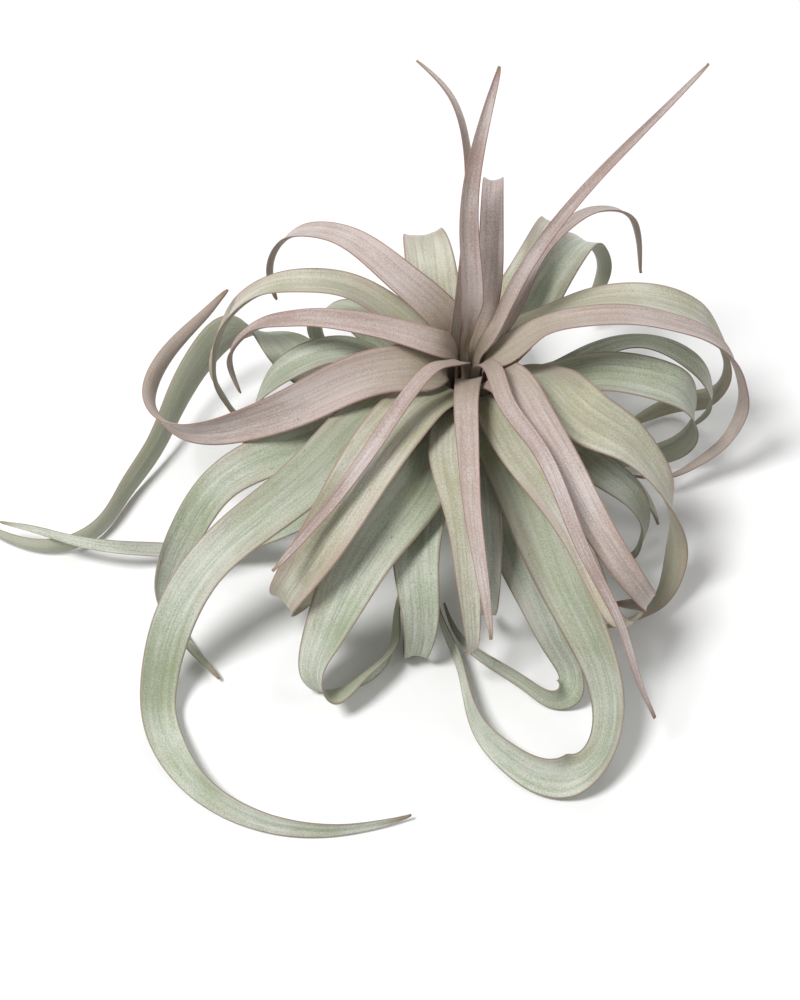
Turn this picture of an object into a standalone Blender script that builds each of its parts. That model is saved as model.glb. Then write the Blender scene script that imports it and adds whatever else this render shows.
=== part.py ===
"""Air plant: a silver-leaved rosette on a short woody stem, with no pot and no roots.

Metres, +Z up. The origin is the middle of the stem's cut base, on the surface that the plant stands on.
Every leaf is a long strap of its own. It wraps the stem at its own height, rises from it, arches over
and curls, and its far end hangs free or rests on the surface. The leaves sit in tiers up the stem:
hidden and outer leaves low down, then middle and inner leaves, and the narrow heart leaves on top.
"""
import math

import bpy
import numpy as np

MM = 0.001

# ---- driving dimensions, in millimetres and degrees --------------------------------------------------
STEM_PROFILE = [(1.5, 64), (2.6, 58), (6.2, 46), (10.5, 34), (15.0, 22), (17.5, 14), (16.5, 7), (11.0, 0)]
STEM_SIDES = 28

LEAF_THICKNESS = 1.0
MARGIN_THICKNESS = 0.6          # share of the full thickness left at a leaf's two margins
SEAT_GAP = 0.35                 # clearance between a leaf's base and the stem
SURFACE_GAP = 0.3               # clearance between a resting leaf and the surface
TIP_WIDTH = 0.9
TWIST_STIFFNESS = 0.3           # how slowly a strap turns to bend flatwise
ROLL_HOLD = 50.0                # how firmly the sheath keeps it from turning below the throat

# The leaves leave the stem one golden angle apart, the first one topmost and innermost. Each base rises
# beside its neighbours to a throat, where the leaves stand as close together as the scales of a bulb.
FIRST_BEARING = 114.0
GOLDEN_ANGLE = 137.508
RANKS = 42                      # rank of the lowest, outermost leaf
NODE_HEIGHTS = (58.0, 13.0)     # where the first and the last leaf are joined to the stem
THROAT_REACH = (4.2, 26.0)      # how far from the axis the first and the last leaf pass the throat
THROAT_HEIGHTS = (84.0, 44.0)
WRAP_ANGLE = 28.0               # half the angle that a leaf base wraps around the axis
WRAP_FADE = (0.0, 30.0)         # lengths past the throat between which the wrapped base opens out

ACROSS = 4                      # faces across a leaf
STEP = 16.0                     # length of one face along a straight stretch of leaf
BEND_DETAIL = 20.0              # how much closer the faces lie where a leaf bends sharply
DENSE = 160                     # samples used to settle a leaf's route

# ---- the leaves ----------------------------------------------------------------------------------------
# Each leaf: tier, place, rank, greatest width, and the places its midrib passes after the throat, as
# (bearing, reach, height). Bearings run from +X (right) to +Y (back).
LEAVES = [
    ("heart", "tall", 0, 11.5, [(79, 2, 108), (97, 12, 144), (88, 19, 171), (75, 37, 203)]),
    ("heart", "front_left", 1, 9, [(241, 15, 92), (235, 24, 96), (234, 35, 96), (235, 50, 94),
        (236, 73, 89), (235, 103, 79), (232, 127, 64)]),
    ("heart", "spear", 2, 6.5, [(9, 8, 92), (28, 17, 105), (41, 41, 124), (39, 68, 145), (37, 94, 163),
        (36, 119, 180)]),
    ("heart", "left_narrow", 3, 12, [(202, 14, 96), (183, 31, 100), (176, 48, 100), (171, 63, 96),
        (169, 79, 90), (167, 93, 80), (167, 102, 68), (165, 106, 50), (165, 103, 36)]),
    ("heart", "front_right", 4, 8, [(300, 16, 92), (290, 40, 95), (293, 65, 92), (293, 87, 86),
        (293, 112, 74), (295, 133, 56), (296, 148, 34), (297, 157, 22)]),
    ("heart", "back", 5, 13, [(64, 16, 102), (67, 22, 132), (75, 35, 146), (78, 53, 130), (78, 76, 98)]),
    ("inner", "right", 7, 17, [(354, 16, 88), (6, 29, 95), (7, 46, 99), (6, 67, 99), (6, 83, 94),
        (6, 99, 86), (6, 111, 74), (6, 119, 55), (6, 121, 38), (4, 114, 24), (2, 102, 15), (359, 90, 12),
        (359, 74, 12)]),
    ("inner", "back_slender", 8, 9, [(105, 14, 106), (95, 20, 148), (97, 27, 174), (105, 36, 190),
        (117, 49, 200)]),
    ("inner", "front", 9, 12, [(267, 31, 89), (268, 51, 90), (270, 89, 82), (272, 113, 68),
        (273, 126, 54)]),
    ("inner", "arched", 10, 9, [(40, 24, 97), (48, 41, 109), (50, 61, 112), (51, 90, 104), (50, 113, 88),
        (50, 125, 66), (49, 127, 46)]),
    ("inner", "left_hooked", 11, 22, [(205, 18, 84), (202, 33, 88), (200, 52, 87), (199, 74, 80),
        (195, 94, 70), (190, 114, 60), (184, 128, 54), (178, 135, 54), (172, 134, 58), (167, 127, 66),
        (163, 119, 74), (157, 112, 82)]),
    ("inner", "front_right", 12, 20, [(307, 28, 89), (301, 47, 90), (300, 70, 84), (300, 93, 74),
        (301, 111, 64), (305, 119, 46), (309, 112, 28), (308, 98, 16)]),
    ("inner", "back_left", 13, 17, [(128, 16, 94), (141, 36, 107), (139, 65, 110), (139, 89, 102),
        (138, 108, 84), (138, 117, 62), (137, 117, 44)]),
    ("middle", "front_left", 14, 31, [(232, 19, 77), (233, 46, 82), (236, 77, 80), (236, 105, 68),
        (233, 116, 50), (230, 117, 34), (227, 103, 16), (226, 84, 8)]),
    ("middle", "right_back", 15, 26, [(27, 25, 85), (30, 40, 88), (26, 58, 91), (21, 78, 90),
        (19, 94, 84), (18, 108, 72), (19, 119, 54), (19, 124, 36), (21, 120, 18), (26, 113, 6),
        (26, 84, 4)]),
    ("middle", "left", 16, 25, [(151, 24, 82), (149, 39, 90), (151, 57, 96), (155, 77, 95),
        (157, 94, 88), (159, 107, 75), (160, 115, 56), (162, 117, 37), (161, 114, 22), (159, 109, 9),
        (156, 103, 4)]),
    ("middle", "front_right", 17, 19, [(290, 27, 79), (290, 51, 80), (294, 72, 74), (297, 90, 63),
        (297, 109, 53), (297, 124, 48), (306, 118, 34)]),
    ("middle", "back_right", 18, 16, [(65, 40, 83), (65, 63, 86), (65, 83, 90), (67, 101, 78),
        (68, 117, 60)]),
    ("outer", "front_left_long", 19, 24, [(212, 39, 77), (216, 63, 72), (220, 90, 67), (219, 114, 59),
        (218, 136, 46), (219, 153, 31), (221, 166, 16), (224, 176, 7), (230, 186, 5), (238, 193, 4),
        (246, 193, 4), (253, 187, 3), (262, 174, 3)]),
    ("middle", "right", 20, 29, [(345, 28, 79), (330, 44, 82), (326, 60, 79), (328, 73, 74),
        (329, 83, 66), (329, 92, 56), (329, 99, 38), (327, 103, 18), (320, 105, 6), (309, 101, 4),
        (300, 94, 4)]),
    ("middle", "back", 21, 28, [(111, 37, 81), (106, 57, 88), (103, 78, 83), (100, 98, 66),
        (96, 109, 42), (95, 104, 18)]),
    ("middle", "front", 22, 20, [(258, 43, 77), (267, 77, 68), (269, 95, 52), (270, 106, 35),
        (270, 108, 24), (269, 104, 17)]),
    ("outer", "back_right", 23, 27, [(58, 54, 68), (58, 76, 75), (59, 102, 71), (59, 117, 58),
        (58, 126, 38), (60, 118, 14)]),
    ("outer", "left", 24, 27, [(172, 28, 66), (169, 51, 76), (172, 67, 73), (173, 81, 62), (172, 90, 46),
        (172, 95, 27), (172, 94, 6), (178, 72, 4)]),
    ("outer", "front_looped", 25, 28, [(300, 32, 63), (294, 62, 57), (293, 91, 46), (294, 116, 33),
        (294, 135, 20), (291, 151, 10), (287, 159, 6), (281, 160, 6), (276, 149, 6), (272, 134, 6),
        (270, 117, 6), (268, 99, 6), (264, 84, 6), (258, 66, 6)]),
    ("hidden", "back_low", 26, 24, [(90, 42, 62), (88, 66, 60), (86, 84, 46), (84, 88, 26), (82, 80, 8)]),
    ("outer", "front_left", 27, 33, [(238, 34, 65), (248, 60, 69), (244, 84, 60), (242, 107, 45),
        (241, 121, 28), (242, 132, 12), (244, 131, 4), (248, 119, 4), (251, 99, 5), (248, 82, 8),
        (246, 58, 12)]),
    ("outer", "right", 28, 29, [(8, 36, 61), (7, 54, 66), (3, 74, 67), (2, 91, 60), (4, 98, 46),
        (7, 101, 28), (10, 95, 11), (12, 80, 5), (13, 60, 5)]),
    ("hidden", "back_left", 29, 24, [(138, 42, 62), (134, 72, 60), (132, 96, 42), (130, 104, 20),
        (128, 96, 5)]),
    ("outer", "front_short", 30, 20, [(278, 40, 53), (276, 66, 49), (275, 84, 39), (275, 88, 24),
        (276, 76, 12)]),
    ("outer", "left_low", 32, 24, [(196, 51, 60), (201, 73, 60), (200, 95, 54), (201, 113, 46),
        (203, 127, 33), (204, 137, 18), (206, 143, 8), (212, 147, 4), (220, 148, 4), (226, 148, 3)]),
    ("outer", "right_front", 33, 21, [(331, 44, 56), (326, 66, 54), (327, 79, 47), (328, 86, 36),
        (328, 87, 21), (327, 84, 10), (324, 72, 5)]),
    ("hidden", "back_lowest", 34, 22, [(110, 42, 50), (112, 70, 46), (114, 90, 28), (114, 95, 10)]),
    ("outer", "front_narrow", 35, 29, [(243, 32, 50), (250, 60, 51), (255, 85, 48), (258, 98, 33),
        (258, 101, 17), (257, 100, 7), (255, 92, 4), (252, 82, 7)]),
    ("outer", "right_back", 36, 18, [(34, 50, 45), (30, 75, 53), (23, 90, 57), (16, 103, 53),
        (15, 112, 38), (16, 115, 20), (18, 110, 7)]),
    ("outer", "left_long", 37, 25, [(159, 50, 46), (156, 80, 50), (148, 112, 44), (149, 125, 37),
        (155, 131, 29), (163, 134, 21), (174, 139, 12), (183, 150, 7), (190, 162, 6), (192, 173, 6),
        (192, 186, 6), (189, 205, 6), (184, 224, 5)]),
    ("outer", "front_low", 38, 21, [(290, 44, 40), (286, 71, 36), (288, 94, 28), (290, 108, 17),
        (290, 121, 8), (287, 124, 6), (282, 114, 6), (276, 101, 6), (269, 89, 6), (262, 70, 6)]),
    ("hidden", "back_right_lowest", 39, 22, [(76, 42, 40), (76, 68, 35), (75, 88, 17), (74, 92, 5)]),
    ("outer", "left_tip", 40, 11, [(212, 42, 38), (213, 78, 33), (204, 107, 14), (201, 120, 9),
        (198, 139, 10), (197, 154, 14), (194, 173, 15), (191, 187, 14), (188, 205, 12)]),
    ("hidden", "right_low", 41, 22, [(350, 42, 32), (348, 66, 26), (346, 84, 11), (345, 88, 4)]),
    ("hidden", "back_left_low", 42, 22, [(129, 42, 30), (130, 64, 25), (131, 82, 10), (132, 88, 3)]),
]

TIERS = {
    # tier: (fold of the blade near the base, fold near the tip, colour)
    "heart": (34.0, 62.0, (0.50, 0.40, 0.40)),
    "inner": (24.0, 50.0, (0.52, 0.43, 0.42)),
    "middle": (20.0, 44.0, (0.50, 0.51, 0.40)),
    "outer": (18.0, 40.0, (0.42, 0.48, 0.37)),
    "hidden": (18.0, 40.0, (0.36, 0.41, 0.31)),
}


def fade(value, low, high):
    """0 below low, 1 above high and a smooth step between them."""
    share = np.clip((value - low) / (high - low), 0.0, 1.0)
    return share * share * (3.0 - 2.0 * share)


def unit(vectors):
    return vectors / np.maximum(np.linalg.norm(vectors, axis=-1, keepdims=True), 1e-12)


def stem_radius(height):
    radii, heights = zip(*reversed(STEM_PROFILE))
    return float(np.interp(height, heights, radii))


def place(bearing, reach, height):
    angle = math.radians(bearing)
    return np.array([reach * math.cos(angle), reach * math.sin(angle), height])


def between(ends, share):
    return ends[0] + (ends[1] - ends[0]) * share


def base_and_throat(rank):
    """Where a leaf of this rank is joined to the stem, and where it passes the throat."""
    share = rank / RANKS
    bearing = FIRST_BEARING + GOLDEN_ANGLE * rank
    node = between(NODE_HEIGHTS, share)
    base = place(bearing, stem_radius(node) + SEAT_GAP + LEAF_THICKNESS / 2, node)
    throat = place(bearing, between(THROAT_REACH, share), between(THROAT_HEIGHTS, share ** 1.2))
    return bearing, base, throat


def smooth_route(points, count):
    """A curve with even bending through the points, as evenly spaced samples (a natural cubic spline)."""
    points = np.asarray(points, float)
    knots = np.concatenate([[0.0], np.cumsum(np.linalg.norm(np.diff(points, axis=0), axis=1))])
    gap = np.diff(knots)
    size = len(points)
    matrix = np.eye(size)
    rates = np.zeros_like(points)
    for i in range(1, size - 1):
        matrix[i, i - 1:i + 2] = gap[i - 1], 2.0 * (gap[i - 1] + gap[i]), gap[i]
        rates[i] = 6.0 * ((points[i + 1] - points[i]) / gap[i] - (points[i] - points[i - 1]) / gap[i - 1])
    bends = np.linalg.solve(matrix, rates)

    def sample(where):
        i = np.clip(np.searchsorted(knots, where) - 1, 0, size - 2)
        h = gap[i][:, None]
        a = (knots[i + 1] - where)[:, None] / h
        b = (where - knots[i])[:, None] / h
        return (a * points[i] + b * points[i + 1]
                + ((a ** 3 - a) * bends[i] + (b ** 3 - b) * bends[i + 1]) * h * h / 6.0)

    fine = np.linspace(0.0, knots[-1], 6 * count)
    run = np.linalg.norm(np.diff(sample(fine), axis=0), axis=1)
    length = np.concatenate([[0.0], np.cumsum(run)])
    even = np.interp(np.linspace(0.0, length[-1], count), length, fine)
    return sample(even), length[-1]


def strap_frames(route, length, first_side, held):
    """Tangent, side and face directions of a strap that bends flatwise wherever its route bends."""
    step = length / (len(route) - 1)
    tangent = unit(np.gradient(route, axis=0))
    side = np.zeros_like(route)
    side[0] = unit(first_side - tangent[0] * (first_side @ tangent[0]))
    for i in range(1, len(route)):
        carried = side[i - 1] - tangent[i] * (side[i - 1] @ tangent[i])
        side[i] = unit(carried)
    face = np.cross(tangent, side)

    bend = np.gradient(tangent, axis=0) / step
    wanted = np.arctan2((bend * side).sum(1), (bend * face).sum(1))
    along = np.linspace(0.0, length, len(route))
    weight = (bend * bend).sum(1) * step * fade(along, held, held + 30.0)
    count = len(route)
    slope = np.diff(np.eye(count), axis=0)
    stiff = TWIST_STIFFNESS / step * slope.T @ slope
    stiff += np.diag(ROLL_HOLD * (1.0 - fade(along, held, held + 6.0)))
    roll = np.zeros(count)
    for _ in range(8):
        branch = wanted + math.pi * np.round((roll - wanted) / math.pi)
        roll = np.linalg.solve(stiff + np.diag(weight), weight * branch)
    cos, sin = np.cos(roll)[:, None], np.sin(roll)[:, None]
    return tangent, cos * side - sin * face, cos * face + sin * side


def blade(leaf, across, count=None):
    """A leaf's middle surface as rows of across + 1 points, closer together where the leaf bends."""
    tier, _, rank, width, stations = leaf
    fold_base, fold_tip, _ = TIERS[tier]
    bearing, base, throat = base_and_throat(rank)
    sheath = [base, base + (throat - base) * 0.5, throat]
    route, length = smooth_route(sheath + [place(*station) for station in stations], DENSE)
    first_side = place(bearing + 90.0, 1.0, 0.0)
    throat_length = np.linalg.norm(throat - base)
    share = np.linspace(-1.0, 1.0, across + 1)

    along = np.linspace(0.0, length, DENSE)
    far = along / length
    full = width * np.minimum(1.0, 1.08 * (1.0 - far) ** 0.62) + TIP_WIDTH * far
    wrap = 1.0 - fade(along - throat_length, *WRAP_FADE)
    fold = np.radians(fold_base + (fold_tip - fold_base) * far ** 1.5)

    for _ in range(3):
        tangent, side, face = strap_frames(route, length, first_side, throat_length)
        reach = np.hypot(route[:, 0], route[:, 1])
        wrapped = np.minimum(full, 2.0 * reach * math.sin(math.radians(WRAP_ANGLE)))
        chord = full + (wrapped - full) * wrap
        half = chord / 2.0
        inward = -route * (1.0, 1.0, 0.0) / np.maximum(reach, 1e-6)[:, None]
        turn = np.arcsin(np.clip(half / np.maximum(reach, 1e-6), 0.0, 0.9))
        grid = np.zeros((DENSE, across + 1, 3))
        for j, place_across in enumerate(share):
            open_side = half * np.sin(place_across * fold) / np.sin(fold)
            open_lift = half * (1.0 - np.cos(place_across * fold)) / np.sin(fold)
            wrap_side = reach * np.sin(place_across * turn)
            wrap_lift = reach * (1.0 - np.cos(place_across * turn))
            opened = side * open_side[:, None] + face * open_lift[:, None]
            closed = side * wrap_side[:, None] + inward * wrap_lift[:, None]
            grid[:, j] = route + opened + (closed - opened) * wrap[:, None]
        lowest = grid[:, :, 2].min(axis=1)
        lift = np.maximum(0.0, SURFACE_GAP + LEAF_THICKNESS / 2 - lowest)
        if lift.max() < 0.02:
            break
        spread = np.exp(-0.5 * ((along[:, None] - along[None, :]) / 12.0) ** 2)
        eased = (spread * lift[None, :]).max(axis=1)
        route = route + np.stack([np.zeros(DENSE), np.zeros(DENSE), eased], axis=1)
    turned = np.linalg.norm(np.diff(tangent, axis=0), axis=1)
    effort = np.concatenate([[0.0], np.cumsum(length / (DENSE - 1) + BEND_DETAIL * turned)])
    count = count or max(12, round(effort[-1] / STEP))
    rows = np.interp(np.linspace(0.0, effort[-1], count), effort, np.arange(DENSE))
    low = np.floor(rows).astype(int).clip(0, DENSE - 2)
    part = (rows - low)[:, None, None]
    return grid[low] * (1.0 - part) + grid[low + 1] * part


def material(name, colour, roughness):
    made = bpy.data.materials.new(name)
    made.use_nodes = True
    shader = made.node_tree.nodes["Principled BSDF"]
    shader.inputs["Base Color"].default_value = (*colour, 1.0)
    shader.inputs["Roughness"].default_value = roughness
    shader.inputs["Metallic"].default_value = 0.0
    return made


def add_object(name, mesh, collection, finish):
    made = bpy.data.objects.new(name, mesh)
    mesh.materials.append(finish)
    collection.objects.link(made)
    return made


def add_stem(collection):
    """The short stem: a turned profile, with the old leaf scars left plain."""
    mesh = bpy.data.meshes.new("stem")
    profile = [(0.0, STEM_PROFILE[0][1])] + STEM_PROFILE + [(0.0, STEM_PROFILE[-1][1])]
    points = [(radius * MM, 0.0, height * MM) for radius, height in profile]
    mesh.from_pydata(points, [(i, i + 1) for i in range(len(points) - 1)], [])
    stem = add_object("stem", mesh, collection, material("stem_wood", (0.24, 0.17, 0.11), 0.85))
    turn = stem.modifiers.new("turn", "SCREW")
    turn.steps = turn.render_steps = STEM_SIDES
    turn.use_merge_vertices = True
    turn.merge_threshold = 0.00005
    turn.use_smooth_shade = True


def add_leaf(leaf, collection):
    """One leaf: an open sheet along its route, thickened, and thinner at its margins."""
    tier, where = leaf[0], leaf[1]
    name = f"{tier}_leaf_{where}"
    grid = blade(leaf, ACROSS)
    count = len(grid)
    points = [tuple(point * MM) for row in grid for point in row]
    wide = ACROSS + 1
    faces = [(i * wide + j, i * wide + j + 1, (i + 1) * wide + j + 1, (i + 1) * wide + j)
             for i in range(count - 1) for j in range(ACROSS)]
    mesh = bpy.data.meshes.new(name)
    mesh.from_pydata(points, [], faces)
    mesh.shade_smooth()
    made = add_object(name, mesh, collection, material(name, TIERS[tier][2], 0.7))
    body = made.vertex_groups.new(name="body")
    body.add([i * wide + j for i in range(count) for j in range(1, ACROSS)], 1.0, "REPLACE")
    thicken = made.modifiers.new("thickness", "SOLIDIFY")
    thicken.thickness = LEAF_THICKNESS * MM
    thicken.offset = 0.0
    thicken.vertex_group = "body"
    thicken.thickness_vertex_group = MARGIN_THICKNESS


def build():
    for old in list(bpy.data.objects):
        bpy.data.objects.remove(old, do_unlink=True)
    collection = bpy.data.collections.new("air_plant")
    bpy.context.scene.collection.children.link(collection)
    add_stem(collection)
    for leaf in LEAVES:
        add_leaf(leaf, collection)


build()
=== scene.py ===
# %% [markdown]
# # Air plant: the finish
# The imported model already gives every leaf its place. This script repeats the rule that made the leaves,
# at a much finer pitch, and adds what the eye looks for close up: a thin body that thins further at the
# margins, faint lengthwise ribs, a gentle ripple, and a skin frosted with the tiny silver scales that an
# air plant drinks through.

import math

import bpy
import numpy as np
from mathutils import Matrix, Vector


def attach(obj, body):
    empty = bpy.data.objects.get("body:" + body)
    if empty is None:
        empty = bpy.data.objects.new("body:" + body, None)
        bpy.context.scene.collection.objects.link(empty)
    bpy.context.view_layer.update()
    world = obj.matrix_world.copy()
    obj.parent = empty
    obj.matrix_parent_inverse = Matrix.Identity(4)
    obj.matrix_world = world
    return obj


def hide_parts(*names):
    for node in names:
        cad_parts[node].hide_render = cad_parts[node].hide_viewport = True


MM = 0.001

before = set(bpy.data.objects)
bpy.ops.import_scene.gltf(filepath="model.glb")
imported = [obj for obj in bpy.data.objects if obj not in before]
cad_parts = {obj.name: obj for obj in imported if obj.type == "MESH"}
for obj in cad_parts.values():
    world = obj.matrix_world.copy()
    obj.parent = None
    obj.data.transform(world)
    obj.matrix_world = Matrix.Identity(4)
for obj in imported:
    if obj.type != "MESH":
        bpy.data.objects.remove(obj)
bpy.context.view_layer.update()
print("packed model:", len(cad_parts), "nodes")

# %% [markdown]
# ## The leaf list
# The sizes are millimetres and degrees. Leaves leave the stem one golden angle apart, as they grow. Each has
# a tier, a place, a rank down the stem, a greatest width and the places that its midrib passes after the
# throat, as (bearing, reach, height). Bearings run from +X to +Y. A list like this is the plant's own shape,
# so it stays a list of chosen places, rounded to whole millimetres and degrees, and all else is worked out.

# %% Driving dimensions
STEM_PROFILE = [(1.5, 64), (2.6, 58), (6.2, 46), (10.5, 34), (15.0, 22), (17.5, 14), (16.5, 7), (11.0, 0)]
SEAT_GAP = 0.35                 # between a leaf's base and the stem
SURFACE_GAP = 0.3               # between a resting leaf and the surface
LEAF_THICKNESS = 1.0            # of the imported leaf
TIP_WIDTH = 0.9
TWIST_STIFFNESS = 0.3           # how slowly a strap turns to bend flatwise
ROLL_HOLD = 50.0                # how firmly the sheath keeps it from turning below the throat

FIRST_BEARING = 114.0
GOLDEN_ANGLE = 137.508
RANKS = 42                      # rank of the lowest, outermost leaf
NODE_HEIGHTS = (58.0, 13.0)     # where the first and the last leaf are joined to the stem
THROAT_REACH = (4.2, 26.0)      # how far from the axis the first and the last leaf pass the throat
THROAT_HEIGHTS = (84.0, 44.0)
WRAP_ANGLE = 28.0               # half the angle that a leaf base wraps around the axis
WRAP_FADE = (0.0, 30.0)         # lengths past the throat between which the wrapped base opens out

ACROSS = 14                     # faces across a leaf
ROW_STEP = 1.7                  # length of one face along a straight stretch of leaf
BEND_DETAIL = 4.0               # how much closer the faces lie where a leaf bends sharply
DENSE = 300                     # samples used to settle a leaf's route

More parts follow.
